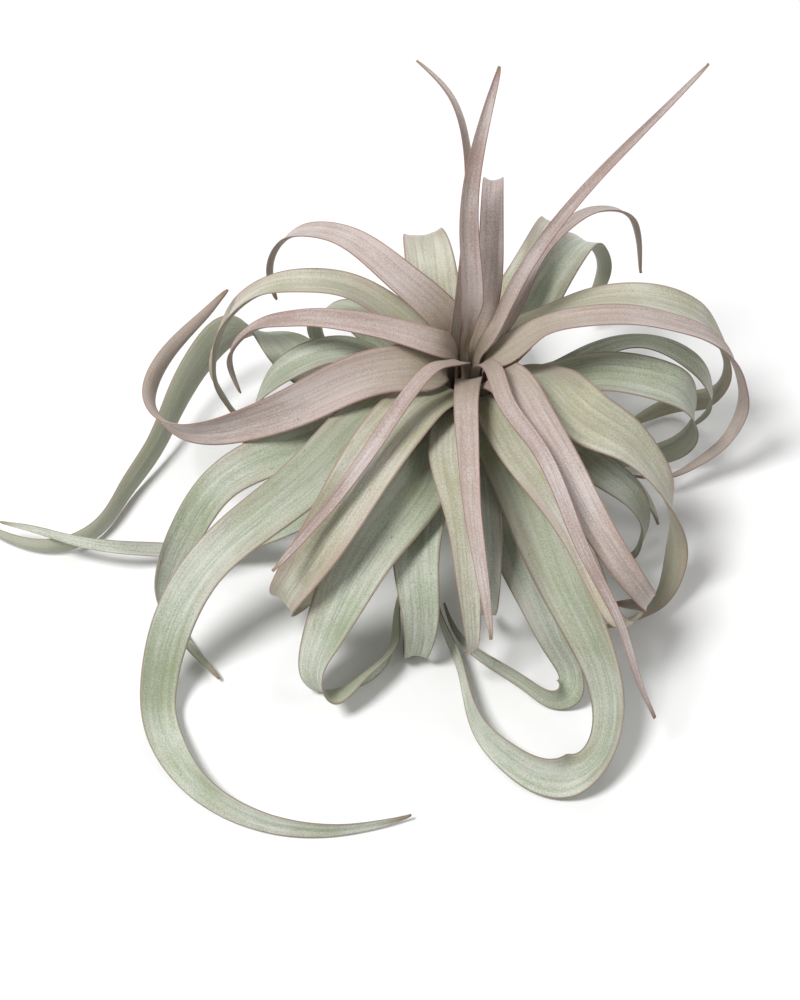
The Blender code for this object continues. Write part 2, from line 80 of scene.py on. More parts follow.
LEAVES = [
    ("heart", "tall", 0, 11.5, [(79, 2, 108), (97, 12, 144), (88, 19, 171), (75, 37, 203)]),
    ("heart", "front_left", 1, 9, [(241, 15, 92), (235, 24, 96), (234, 35, 96), (235, 50, 94),
        (236, 73, 89), (235, 103, 79), (232, 127, 64)]),
    ("heart", "spear", 2, 6.5, [(9, 8, 92), (28, 17, 105), (41, 41, 124), (39, 68, 145), (37, 94, 163),
        (36, 119, 180)]),
    ("heart", "left_narrow", 3, 12, [(202, 14, 96), (183, 31, 100), (176, 48, 100), (171, 63, 96),
        (169, 79, 90), (167, 93, 80), (167, 102, 68), (165, 106, 50), (165, 103, 36)]),
    ("heart", "front_right", 4, 8, [(300, 16, 92), (290, 40, 95), (293, 65, 92), (293, 87, 86),
        (293, 112, 74), (295, 133, 56), (296, 148, 34), (297, 157, 22)]),
    ("heart", "back", 5, 13, [(64, 16, 102), (67, 22, 132), (75, 35, 146), (78, 53, 130), (78, 76, 98)]),
    ("inner", "right", 7, 17, [(354, 16, 88), (6, 29, 95), (7, 46, 99), (6, 67, 99), (6, 83, 94),
        (6, 99, 86), (6, 111, 74), (6, 119, 55), (6, 121, 38), (4, 114, 24), (2, 102, 15), (359, 90, 12),
        (359, 74, 12)]),
    ("inner", "back_slender", 8, 9, [(105, 14, 106), (95, 20, 148), (97, 27, 174), (105, 36, 190),
        (117, 49, 200)]),
    ("inner", "front", 9, 12, [(267, 31, 89), (268, 51, 90), (270, 89, 82), (272, 113, 68),
        (273, 126, 54)]),
    ("inner", "arched", 10, 9, [(40, 24, 97), (48, 41, 109), (50, 61, 112), (51, 90, 104), (50, 113, 88),
        (50, 125, 66), (49, 127, 46)]),
    ("inner", "left_hooked", 11, 22, [(205, 18, 84), (202, 33, 88), (200, 52, 87), (199, 74, 80),
        (195, 94, 70), (190, 114, 60), (184, 128, 54), (178, 135, 54), (172, 134, 58), (167, 127, 66),
        (163, 119, 74), (157, 112, 82)]),
    ("inner", "front_right", 12, 20, [(307, 28, 89), (301, 47, 90), (300, 70, 84), (300, 93, 74),
        (301, 111, 64), (305, 119, 46), (309, 112, 28), (308, 98, 16)]),
    ("inner", "back_left", 13, 17, [(128, 16, 94), (141, 36, 107), (139, 65, 110), (139, 89, 102),
        (138, 108, 84), (138, 117, 62), (137, 117, 44)]),
    ("middle", "front_left", 14, 31, [(232, 19, 77), (233, 46, 82), (236, 77, 80), (236, 105, 68),
        (233, 116, 50), (230, 117, 34), (227, 103, 16), (226, 84, 8)]),
    ("middle", "right_back", 15, 26, [(27, 25, 85), (30, 40, 88), (26, 58, 91), (21, 78, 90),
        (19, 94, 84), (18, 108, 72), (19, 119, 54), (19, 124, 36), (21, 120, 18), (26, 113, 6),
        (26, 84, 4)]),
    ("middle", "left", 16, 25, [(151, 24, 82), (149, 39, 90), (151, 57, 96), (155, 77, 95),
        (157, 94, 88), (159, 107, 75), (160, 115, 56), (162, 117, 37), (161, 114, 22), (159, 109, 9),
        (156, 103, 4)]),
    ("middle", "front_right", 17, 19, [(290, 27, 79), (290, 51, 80), (294, 72, 74), (297, 90, 63),
        (297, 109, 53), (297, 124, 48), (306, 118, 34)]),
    ("middle", "back_right", 18, 16, [(65, 40, 83), (65, 63, 86), (65, 83, 90), (67, 101, 78),
        (68, 117, 60)]),
    ("outer", "front_left_long", 19, 24, [(212, 39, 77), (216, 63, 72), (220, 90, 67), (219, 114, 59),
        (218, 136, 46), (219, 153, 31), (221, 166, 16), (224, 176, 7), (230, 186, 5), (238, 193, 4),
        (246, 193, 4), (253, 187, 3), (262, 174, 3)]),
    ("middle", "right", 20, 29, [(345, 28, 79), (330, 44, 82), (326, 60, 79), (328, 73, 74),
        (329, 83, 66), (329, 92, 56), (329, 99, 38), (327, 103, 18), (320, 105, 6), (309, 101, 4),
        (300, 94, 4)]),
    ("middle", "back", 21, 28, [(111, 37, 81), (106, 57, 88), (103, 78, 83), (100, 98, 66),
        (96, 109, 42), (95, 104, 18)]),
    ("middle", "front", 22, 20, [(258, 43, 77), (267, 77, 68), (269, 95, 52), (270, 106, 35),
        (270, 108, 24), (269, 104, 17)]),
    ("outer", "back_right", 23, 27, [(58, 54, 68), (58, 76, 75), (59, 102, 71), (59, 117, 58),
        (58, 126, 38), (60, 118, 14)]),
    ("outer", "left", 24, 27, [(172, 28, 66), (169, 51, 76), (172, 67, 73), (173, 81, 62), (172, 90, 46),
        (172, 95, 27), (172, 94, 6), (178, 72, 4)]),
    ("outer", "front_looped", 25, 28, [(300, 32, 63), (294, 62, 57), (293, 91, 46), (294, 116, 33),
        (294, 135, 20), (291, 151, 10), (287, 159, 6), (281, 160, 6), (276, 149, 6), (272, 134, 6),
        (270, 117, 6), (268, 99, 6), (264, 84, 6), (258, 66, 6)]),
    ("hidden", "back_low", 26, 24, [(90, 42, 62), (88, 66, 60), (86, 84, 46), (84, 88, 26), (82, 80, 8)]),
    ("outer", "front_left", 27, 33, [(238, 34, 65), (248, 60, 69), (244, 84, 60), (242, 107, 45),
        (241, 121, 28), (242, 132, 12), (244, 131, 4), (248, 119, 4), (251, 99, 5), (248, 82, 8),
        (246, 58, 12)]),
    ("outer", "right", 28, 29, [(8, 36, 61), (7, 54, 66), (3, 74, 67), (2, 91, 60), (4, 98, 46),
        (7, 101, 28), (10, 95, 11), (12, 80, 5), (13, 60, 5)]),
    ("hidden", "back_left", 29, 24, [(138, 42, 62), (134, 72, 60), (132, 96, 42), (130, 104, 20),
        (128, 96, 5)]),
    ("outer", "front_short", 30, 20, [(278, 40, 53), (276, 66, 49), (275, 84, 39), (275, 88, 24),
        (276, 76, 12)]),
    ("outer", "left_low", 32, 24, [(196, 51, 60), (201, 73, 60), (200, 95, 54), (201, 113, 46),
        (203, 127, 33), (204, 137, 18), (206, 143, 8), (212, 147, 4), (220, 148, 4), (226, 148, 3)]),
    ("outer", "right_front", 33, 21, [(331, 44, 56), (326, 66, 54), (327, 79, 47), (328, 86, 36),
        (328, 87, 21), (327, 84, 10), (324, 72, 5)]),
    ("hidden", "back_lowest", 34, 22, [(110, 42, 50), (112, 70, 46), (114, 90, 28), (114, 95, 10)]),
    ("outer", "front_narrow", 35, 29, [(243, 32, 50), (250, 60, 51), (255, 85, 48), (258, 98, 33),
        (258, 101, 17), (257, 100, 7), (255, 92, 4), (252, 82, 7)]),
    ("outer", "right_back", 36, 18, [(34, 50, 45), (30, 75, 53), (23, 90, 57), (16, 103, 53),
        (15, 112, 38), (16, 115, 20), (18, 110, 7)]),
    ("outer", "left_long", 37, 25, [(159, 50, 46), (156, 80, 50), (148, 112, 44), (149, 125, 37),
        (155, 131, 29), (163, 134, 21), (174, 139, 12), (183, 150, 7), (190, 162, 6), (192, 173, 6),
        (192, 186, 6), (189, 205, 6), (184, 224, 5)]),
    ("outer", "front_low", 38, 21, [(290, 44, 40), (286, 71, 36), (288, 94, 28), (290, 108, 17),
        (290, 121, 8), (287, 124, 6), (282, 114, 6), (276, 101, 6), (269, 89, 6), (262, 70, 6)]),
    ("hidden", "back_right_lowest", 39, 22, [(76, 42, 40), (76, 68, 35), (75, 88, 17), (74, 92, 5)]),
    ("outer", "left_tip", 40, 11, [(212, 42, 38), (213, 78, 33), (204, 107, 14), (201, 120, 9),
        (198, 139, 10), (197, 154, 14), (194, 173, 15), (191, 187, 14), (188, 205, 12)]),
    ("hidden", "right_low", 41, 22, [(350, 42, 32), (348, 66, 26), (346, 84, 11), (345, 88, 4)]),
    ("hidden", "back_left_low", 42, 22, [(129, 42, 30), (130, 64, 25), (131, 82, 10), (132, 88, 3)]),
]

FOLDS = {
    # tier: (fold of the blade near its base, fold near its tip)
    "heart": (34.0, 62.0),
    "inner": (24.0, 50.0),
    "middle": (20.0, 44.0),
    "outer": (18.0, 40.0),
    "hidden": (18.0, 40.0),
}
print("leaves:", len(LEAVES))

# %% [markdown]
# ## From a list to a strap
# A natural cubic spline through the places gives the midrib. A frame is then carried along it without
# turning, and rolled by the least amount that lets the strap bend flatwise, as a real leaf does. Near the
# stem the cross-section wraps the axis like the scale of a bulb. Further out it opens to a shallow channel,
# whose fold deepens to the tip.

# %% The rule for one leaf
def fade(value, low, high):
    """0 below low, 1 above high and a smooth step between them."""
    share = np.clip((value - low) / (high - low), 0.0, 1.0)
    return share * share * (3.0 - 2.0 * share)


def unit(vectors):
    return vectors / np.maximum(np.linalg.norm(vectors, axis=-1, keepdims=True), 1e-12)


def stem_radius(height):
    radii, heights = zip(*reversed(STEM_PROFILE))
    return float(np.interp(height, heights, radii))


def place(bearing, reach, height):
    angle = math.radians(bearing)
    return np.array([reach * math.cos(angle), reach * math.sin(angle), height])


def between(ends, share):
    return ends[0] + (ends[1] - ends[0]) * share


def base_and_throat(rank):
    """Where a leaf of this rank is joined to the stem, and where it passes the throat."""
    share = rank / RANKS
    bearing = FIRST_BEARING + GOLDEN_ANGLE * rank
    node = between(NODE_HEIGHTS, share)
    base = place(bearing, stem_radius(node) + SEAT_GAP + LEAF_THICKNESS / 2, node)
    throat = place(bearing, between(THROAT_REACH, share), between(THROAT_HEIGHTS, share ** 1.2))
    return bearing, base, throat


def smooth_route(points, count):
    """A curve with even bending through the points, as evenly spaced samples (a natural cubic spline)."""
    points = np.asarray(points, float)
    knots = np.concatenate([[0.0], np.cumsum(np.linalg.norm(np.diff(points, axis=0), axis=1))])
    gap = np.diff(knots)
    size = len(points)
    matrix = np.eye(size)
    rates = np.zeros_like(points)
    for i in range(1, size - 1):
        matrix[i, i - 1:i + 2] = gap[i - 1], 2.0 * (gap[i - 1] + gap[i]), gap[i]
        rates[i] = 6.0 * ((points[i + 1] - points[i]) / gap[i] - (points[i] - points[i - 1]) / gap[i - 1])
    bends = np.linalg.solve(matrix, rates)

    def sample(where):
        i = np.clip(np.searchsorted(knots, where) - 1, 0, size - 2)
        h = gap[i][:, None]
        a = (knots[i + 1] - where)[:, None] / h
        b = (where - knots[i])[:, None] / h
        return (a * points[i] + b * points[i + 1]
                + ((a ** 3 - a) * bends[i] + (b ** 3 - b) * bends[i + 1]) * h * h / 6.0)

    fine = np.linspace(0.0, knots[-1], 6 * count)
    run = np.linalg.norm(np.diff(sample(fine), axis=0), axis=1)
    length = np.concatenate([[0.0], np.cumsum(run)])
    even = np.interp(np.linspace(0.0, length[-1], count), length, fine)
    return sample(even), length[-1]


def strap_frames(route, length, first_side, held):
    """Tangent, side and face directions of a strap that bends flatwise wherever its route bends."""
    step = length / (len(route) - 1)
    tangent = unit(np.gradient(route, axis=0))
    side = np.zeros_like(route)
    side[0] = unit(first_side - tangent[0] * (first_side @ tangent[0]))
    for i in range(1, len(route)):
        carried = side[i - 1] - tangent[i] * (side[i - 1] @ tangent[i])
        side[i] = unit(carried)
    face = np.cross(tangent, side)

    bend = np.gradient(tangent, axis=0) / step
    wanted = np.arctan2((bend * side).sum(1), (bend * face).sum(1))
    along = np.linspace(0.0, length, len(route))
    weight = (bend * bend).sum(1) * step * fade(along, held, held + 30.0)
    count = len(route)
    slope = np.diff(np.eye(count), axis=0)
    stiff = TWIST_STIFFNESS / step * slope.T @ slope
    stiff += np.diag(ROLL_HOLD * (1.0 - fade(along, held, held + 6.0)))
    roll = np.zeros(count)
    for _ in range(8):
        branch = wanted + math.pi * np.round((roll - wanted) / math.pi)
        roll = np.linalg.solve(stiff + np.diag(weight), weight * branch)
    cos, sin = np.cos(roll)[:, None], np.sin(roll)[:, None]
    return tangent, cos * side - sin * face, cos * face + sin * side


def blade(leaf):
    """A leaf's middle surface: a grid of points, with each row's length along and half width."""
    tier, _, rank, width, stations = leaf
    fold_base, fold_tip = FOLDS[tier]
    bearing, base, throat = base_and_throat(rank)
    sheath = [base, base + (throat - base) * 0.5, throat]
    route, length = smooth_route(sheath + [place(*station) for station in stations], DENSE)
    first_side = place(bearing + 90.0, 1.0, 0.0)
    throat_length = np.linalg.norm(throat - base)
    share = np.linspace(-1.0, 1.0, ACROSS + 1)

    along = np.linspace(0.0, length, DENSE)
    far = along / length
    full = width * np.minimum(1.0, 1.08 * (1.0 - far) ** 0.62) + TIP_WIDTH * far
    wrap = 1.0 - fade(along - throat_length, *WRAP_FADE)
    fold = np.radians(fold_base + (fold_tip - fold_base) * far ** 1.5)

    for _ in range(3):
        tangent, side, face = strap_frames(route, length, first_side, throat_length)
        reach = np.hypot(route[:, 0], route[:, 1])
        wrapped = np.minimum(full, 2.0 * reach * math.sin(math.radians(WRAP_ANGLE)))
        half = (full + (wrapped - full) * wrap) / 2.0
        inward = -route * (1.0, 1.0, 0.0) / np.maximum(reach, 1e-6)[:, None]
        turn = np.arcsin(np.clip(half / np.maximum(reach, 1e-6), 0.0, 0.9))
        grid = np.zeros((DENSE, ACROSS + 1, 3))
        for j, place_across in enumerate(share):
            open_side = half * np.sin(place_across * fold) / np.sin(fold)
            open_lift = half * (1.0 - np.cos(place_across * fold)) / np.sin(fold)
            wrap_side = reach * np.sin(place_across * turn)
            wrap_lift = reach * (1.0 - np.cos(place_across * turn))
            opened = side * open_side[:, None] + face * open_lift[:, None]
            closed = side * wrap_side[:, None] + inward * wrap_lift[:, None]
            grid[:, j] = route + opened + (closed - opened) * wrap[:, None]
        lift = np.maximum(0.0, SURFACE_GAP + LEAF_THICKNESS / 2 - grid[:, :, 2].min(axis=1))
        if lift.max() < 0.02:
            break
        spread = np.exp(-0.5 * ((along[:, None] - along[None, :]) / 12.0) ** 2)
        eased = (spread * lift[None, :]).max(axis=1)
        route = route + np.stack([np.zeros(DENSE), np.zeros(DENSE), eased], axis=1)
    turned = np.linalg.norm(np.diff(tangent, axis=0), axis=1)
    effort = np.concatenate([[0.0], np.cumsum(length / (DENSE - 1) + BEND_DETAIL * turned)])
    rows = np.interp(np.linspace(0.0, effort[-1], round(effort[-1] / ROW_STEP)), effort, np.arange(DENSE))
    low = np.floor(rows).astype(int).clip(0, DENSE - 2)
    part = rows - low

    def pick(values):
        ratio = part.reshape([-1] + [1] * (values.ndim - 1))
        return values[low] * (1.0 - ratio) + values[low + 1] * ratio

    return pick(grid), pick(along), pick(half), length


def sheet_mesh(name, leaf):
    """The strap as an open sheet whose points know how far along and how far across the leaf they are."""
    grid, along, half, length = blade(leaf)
    count, wide = len(grid), ACROSS + 1
    faces = [(i * wide + j, i * wide + j + 1, (i + 1) * wide + j + 1, (i + 1) * wide + j)
             for i in range(count - 1) for j in range(ACROSS)]
    mesh = bpy.data.meshes.new(name)
    mesh.from_pydata((grid.reshape(-1, 3) * MM).tolist(), [], faces)
    across = np.tile(np.linspace(-1.0, 1.0, wide), count)
    values = {
        "leaf_across": across,
        "leaf_share": np.repeat(along / length, wide),
        "leaf_along": np.repeat(along * MM, wide),
        "leaf_sideways": across * np.repeat(half * MM, wide),
    }
    for key, column in values.items():
        mesh.attributes.new(key, "FLOAT", "POINT").data.foreach_set("value", column.astype(np.float32))
    return mesh


leaf_names = [f"{leaf[0]}_leaf_{leaf[1]}" for leaf in LEAVES]
print("every leaf has its packed node:", set(leaf_names) | {"stem"} == set(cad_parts))

# %% [markdown]
# ## Materials
# The silver of an air plant is a coat of tiny scales over a green or pink skin, so each leaf material starts
# as a skin colour and lays a speckled frost over it. A material like this is many small mixes, so a few
# helpers come first, one for each kind of node. They keep the recipes below short enough to read.

# %% Node helpers
def link(tree, source, target):
    tree.links.new(source, target)


def fill(tree, sockets, values):
    """Gives each socket its value: a plain one is set and the output of another node is linked."""
    for socket, value in zip(sockets, values):
        if isinstance(value, (int, float)):
            socket.default_value = value
        elif isinstance(value, tuple):
            socket.default_value = (*value, 1.0)
        else:
            link(tree, value, socket)


def math_node(tree, operation, *values, clamp=False):
    node = tree.nodes.new("ShaderNodeMath")
    node.operation = operation
    node.use_clamp = clamp
    fill(tree, node.inputs, values)
    return node.outputs[0]


def scaled(tree, value, factor):
    return math_node(tree, "MULTIPLY", value, factor)


def added(tree, first, second):
    return math_node(tree, "ADD", first, second)


def inverse(tree, value):
    return math_node(tree, "SUBTRACT", 1.0, value)


def combine(tree, *values):
    node = tree.nodes.new("ShaderNodeCombineXYZ")
    fill(tree, node.inputs, values)
    return node.outputs[0]


def noise(tree, where, scale, detail=2.0, roughness=0.5):
    node = tree.nodes.new("ShaderNodeTexNoise")
    node.inputs["Scale"].default_value = scale
    node.inputs["Detail"].default_value = detail
    node.inputs["Roughness"].default_value = roughness
    link(tree, where, node.inputs["Vector"])
    return node.outputs[0]


def ramp(tree, value, low, high):
    """0 at low, 1 at high, and smooth between."""
    node = tree.nodes.new("ShaderNodeMapRange")
    node.interpolation_type = "SMOOTHSTEP"
    node.inputs["From Min"].default_value = low
    node.inputs["From Max"].default_value = high
    link(tree, value, node.inputs["Value"])
    return node.outputs["Result"]


def mix(tree, amount, first, second):
    """A colour that goes from first to second as amount goes from 0 to 1."""
    node = tree.nodes.new("ShaderNodeMix")
    node.data_type = "RGBA"
    fill(tree, (node.inputs["Factor"], node.inputs[6], node.inputs[7]), (amount, first, second))
    return node.outputs[2]


def shade(colour, factor):
    return tuple(factor * part for part in colour)


def object_place(tree):
    return tree.nodes.new("ShaderNodeTexCoord").outputs["Object"]


# %% [markdown]
# ## Patterns on a leaf
# On the plant, veins and creases run lengthwise, the keel is one fine line down the middle, and specks and
# brown marks are scattered. Each is a pattern from 0 to 1. The lengthwise ones read the leaf's own lengths,
# stored on its mesh, so they follow it round every curl. Clouds, flush and grain need no direction, so they
# read Object coordinates. The creases are pressed in by the bump and darkened with painted shade.

# %% The patterns
CLOUD_SCALE = 30.0              # all scales are in cells a metre
FLUSH_SCALE = 17.0
FROST_GRAIN = 1700.0
STREAK_SCALE = 520.0
CREASE_SCALE = 190.0
BLEMISH_SCALE = 140.0
SPECK_SCALE = 150.0
VEIN_PITCH = 1.6 * MM           # from one lengthwise vein to the next
LENGTHWISE = 0.035              # how far streaks and creases are drawn out along the leaf
BLEMISH_STRETCH = 0.4
CREASE_LEVEL = 0.53             # a crease runs where its noise has this value
CREASE_WIDTH = 0.012
KEEL_BAND = (0.015, 0.06)       # bands are shares of the way from the midrib to the margin
MARGIN_BAND = (0.90, 0.985)
FLUSH_BAND = (0.1, 0.95)
# The olive base colour, darkened with painted shade of the throat, fades out between these shares.
OLIVE_AND_SHADE_FADE = (0.08, 0.42)      # fades are shares of the leaf's length
FROST_FADE = (0.12, 0.55)
DRY_TIP = (0.955, 0.995)
SPECK_SIZE = (0.03, 0.07)
SPECKLESS_SHARE = 0.55          # of the speck grid's cells


def leaf_lengths(tree):
    """The values stored on a leaf's mesh, by name. Share and along run lengthwise."""
    lengths = {}
    for name in ("across", "share", "along", "sideways", "under"):
        node = tree.nodes.new("ShaderNodeAttribute")
        node.attribute_name = f"leaf_{name}"
        lengths[name] = node.outputs["Fac"]
    return lengths


def specks(tree, where):
    """Small round dots in some cells of a grid."""
    node = tree.nodes.new("ShaderNodeTexVoronoi")
    node.inputs["Scale"].default_value = SPECK_SCALE
    link(tree, where, node.inputs["Vector"])
    dots = inverse(tree, ramp(tree, node.outputs["Distance"], *SPECK_SIZE))
    return scaled(tree, dots, math_node(tree, "GREATER_THAN", node.outputs["Color"], SPECKLESS_SHARE))


def leaf_patterns(tree):
    """Every pattern that a leaf's colour, roughness and bump are mixed from, by name."""
    own = leaf_lengths(tree)
    body = object_place(tree)
    outward = math_node(tree, "ABSOLUTE", own["across"])
    drawn_out = combine(tree, own["sideways"], scaled(tree, own["along"], LENGTHWISE), 0.0)
    marked = combine(tree, own["sideways"], scaled(tree, own["along"], BLEMISH_STRETCH), 3.7)
    wave = math_node(tree, "SINE", scaled(tree, own["sideways"], 2.0 * math.pi / VEIN_PITCH))
    level = math_node(tree, "SUBTRACT", noise(tree, drawn_out, CREASE_SCALE, 1.0), CREASE_LEVEL)
    flush = ramp(tree, noise(tree, body, FLUSH_SCALE, 2.0), 0.42, 0.62)
    made = {
        "clouds": noise(tree, body, CLOUD_SCALE, 3.0),
        "grain": noise(tree, body, FROST_GRAIN, 2.0, 0.7),
        "streaks": noise(tree, drawn_out, STREAK_SCALE, 3.0),
        "vein": scaled(tree, ramp(tree, wave, 0.1, 1.0), 0.13),
        # crease lines, pressed in by the bump and darkened with painted shade
        "shaded_crease": inverse(tree, ramp(tree, math_node(tree, "ABSOLUTE", level), 0.0, CREASE_WIDTH)),
        "keel": inverse(tree, ramp(tree, outward, *KEEL_BAND)),
        "margin": ramp(tree, outward, *MARGIN_BAND),
        "flush": scaled(tree, flush, ramp(tree, outward, *FLUSH_BAND)),
        # painted shade of the throat over the olive base: full at the base, gone further out
        "sheath": inverse(tree, ramp(tree, own["share"], *OLIVE_AND_SHADE_FADE)),
        "tip": ramp(tree, own["share"], *DRY_TIP),
        "speck": specks(tree, combine(tree, own["sideways"], own["along"], 0.0)),
        "blemish": ramp(tree, noise(tree, marked, BLEMISH_SCALE, 5.0, 0.75), 0.66, 0.74),
        # where the underside is, for its painted shade
        "under": own["under"],
    }
    frost = added(tree, scaled(tree, made["grain"], 0.36), scaled(tree, made["streaks"], 0.26))
    frost = ramp(tree, added(tree, frost, scaled(tree, made["clouds"], 0.38)), 0.36, 0.62)
    grown = ramp(tree, own["share"], *FROST_FADE)
    made["frost"] = scaled(tree, frost, added(tree, 0.38, scaled(tree, grown, 0.57)))
    return made


print("a leaf's own lengths: across, share, along, sideways, under")

# %% [markdown]
# ## Leaf materials
# The colours are laid in the order they lie on a leaf. The skin is more olive where it rises out of the
# sheath, and darker there with painted shade of the throat. Frost covers it further out, mauve flushes in
# from the margins, and the underside is darkened with painted shade. Fine lines and marks go on top, and the
# creases get painted shade. Heart and inner leaves are the pinkest, and the low leaves the greenest, as on a
# plant that stands in bright light. The hidden leaves take the outer colours dimmed, as painted shade for
# leaves that lie under the others.

# %% Mix the leaf materials
FLUSH = (0.40, 0.27, 0.235)
SPECK = (0.09, 0.065, 0.045)
BLEMISH = (0.19, 0.14, 0.08)
DRY = (0.26, 0.18, 0.12)

# Each tier's sheath colour is its olive base, darkened with painted shade of the throat.
LEAF_FINISHES = {
    # Each tier's under colour is painted shade on the underside.
    "heart": {
        "skin": (0.31, 0.22, 0.185), "frost": (0.58, 0.51, 0.49), "sheath": (0.25, 0.20, 0.12),
        "under": (0.30, 0.24, 0.20), "margin": (0.27, 0.15, 0.13), "flush": 0.25,
    },
    "inner": {
        "skin": (0.33, 0.25, 0.205), "frost": (0.60, 0.53, 0.505), "sheath": (0.27, 0.23, 0.13),
        "under": (0.33, 0.27, 0.22), "margin": (0.28, 0.16, 0.13), "flush": 0.30,
    },
    "middle": {
        "skin": (0.32, 0.31, 0.19), "frost": (0.62, 0.61, 0.535), "sheath": (0.26, 0.25, 0.12),
        "under": (0.32, 0.30, 0.20), "margin": (0.29, 0.19, 0.15), "flush": 0.50,
    },
    "outer": {
        "skin": (0.27, 0.31, 0.19), "frost": (0.60, 0.625, 0.555), "sheath": (0.23, 0.24, 0.12),
        "under": (0.30, 0.31, 0.21), "margin": (0.27, 0.20, 0.15), "flush": 0.28,
    },
    # Hidden leaves take the outer colours dimmed by about a fifth, as painted shade for leaves under the
    # others.
    "hidden": {
        "skin": (0.22, 0.25, 0.14), "frost": (0.47, 0.49, 0.40), "sheath": (0.19, 0.20, 0.10),
        "under": (0.25, 0.26, 0.18), "margin": (0.24, 0.18, 0.14), "flush": 0.20,
    },
}


def leaf_colour(tree, pattern, finish):
    skin, frost = finish["skin"], finish["frost"]
    colour = mix(tree, ramp(tree, pattern["clouds"], 0.35, 0.7), skin, shade(skin, 0.80))
    coats = [
        # how much of it there is, and its colour
        # painted shade of the throat, over the olive base
        (pattern["sheath"], finish["sheath"]),
        (pattern["frost"], frost),
        (scaled(tree, pattern["flush"], finish["flush"]), FLUSH),
        # painted shade on the underside
        (scaled(tree, pattern["under"], 0.55), finish["under"]),
        (pattern["vein"], shade(frost, 0.5)),
        # painted shade in the creases
        (scaled(tree, pattern["shaded_crease"], 0.42), shade(frost, 0.42)),
        (scaled(tree, pattern["keel"], 0.32), shade(frost, 0.45)),
        (scaled(tree, pattern["margin"], 0.85), finish["margin"]),
        (scaled(tree, pattern["speck"], 0.55), SPECK),
        (scaled(tree, pattern["blemish"], 0.45), BLEMISH),
        (scaled(tree, pattern["tip"], 0.8), DRY),
    ]
    for amount, coat in coats:
        colour = mix(tree, amount, colour, coat)
    return colour


def add_bump(tree, shader, height, strength, distance):
    bump = tree.nodes.new("ShaderNodeBump")
    bump.inputs["Strength"].default_value = strength
    bump.inputs["Distance"].default_value = distance
    link(tree, height, bump.inputs["Height"])
    link(tree, bump.outputs["Normal"], shader.inputs["Normal"])


def leaf_material(tier, finish):
    """A frosted leaf, rougher where the frost is thick."""
    made = bpy.data.materials.new(f"{tier}_leaf")
    made.use_nodes = True
    tree = made.node_tree
    shader = tree.nodes["Principled BSDF"]
    pattern = leaf_patterns(tree)
    link(tree, leaf_colour(tree, pattern, finish), shader.inputs["Base Color"])
    link(tree, added(tree, 0.55, scaled(tree, pattern["frost"], 0.30)), shader.inputs["Roughness"])
    shader.inputs["Specular IOR Level"].default_value = 0.35
    shader.inputs["Sheen Weight"].default_value = 0.12
    shader.inputs["Sheen Roughness"].default_value = 0.45
    height = math_node(tree, "SUBTRACT", pattern["grain"], scaled(tree, pattern["vein"], 3.0))
    height = math_node(tree, "SUBTRACT", height, scaled(tree, pattern["shaded_crease"], 0.8))
    add_bump(tree, shader, height, strength=0.35, distance=0.2 * MM)
    return made


leaf_materials = {tier: leaf_material(tier, finish) for tier, finish in LEAF_FINISHES.items()}
print("leaf materials:", sorted(leaf_materials))

# %% [markdown]
# ## One tree of nodes turns a sheet into a leaf
# The tree below is built once, and each leaf uses it with its own seed. It moves the sheet by a slow ripple
# and fine ribs, pulls out a thin body that is thinner still at its margins, and closes it with a flipped
# copy of the sheet. Doing this in Geometry Nodes keeps the leaf's lengths with the mesh, and a learner can
# change the thickness or the ripple and see every leaf answer.

# %% The leaf tree
TREE_SIZES = ("Thickness", "Margin Share", "Ripple Height", "Ripple Length", "Rib Height", "Rib Pitch",
              "Seed")
WELD_DISTANCE = 0.002 * MM
RIPPLE_START = 0.2              # share of the leaf's length over which its ripple and ribs grow to full size
RIPPLE_ACROSS = 0.8             # ripples from the midrib to a margin


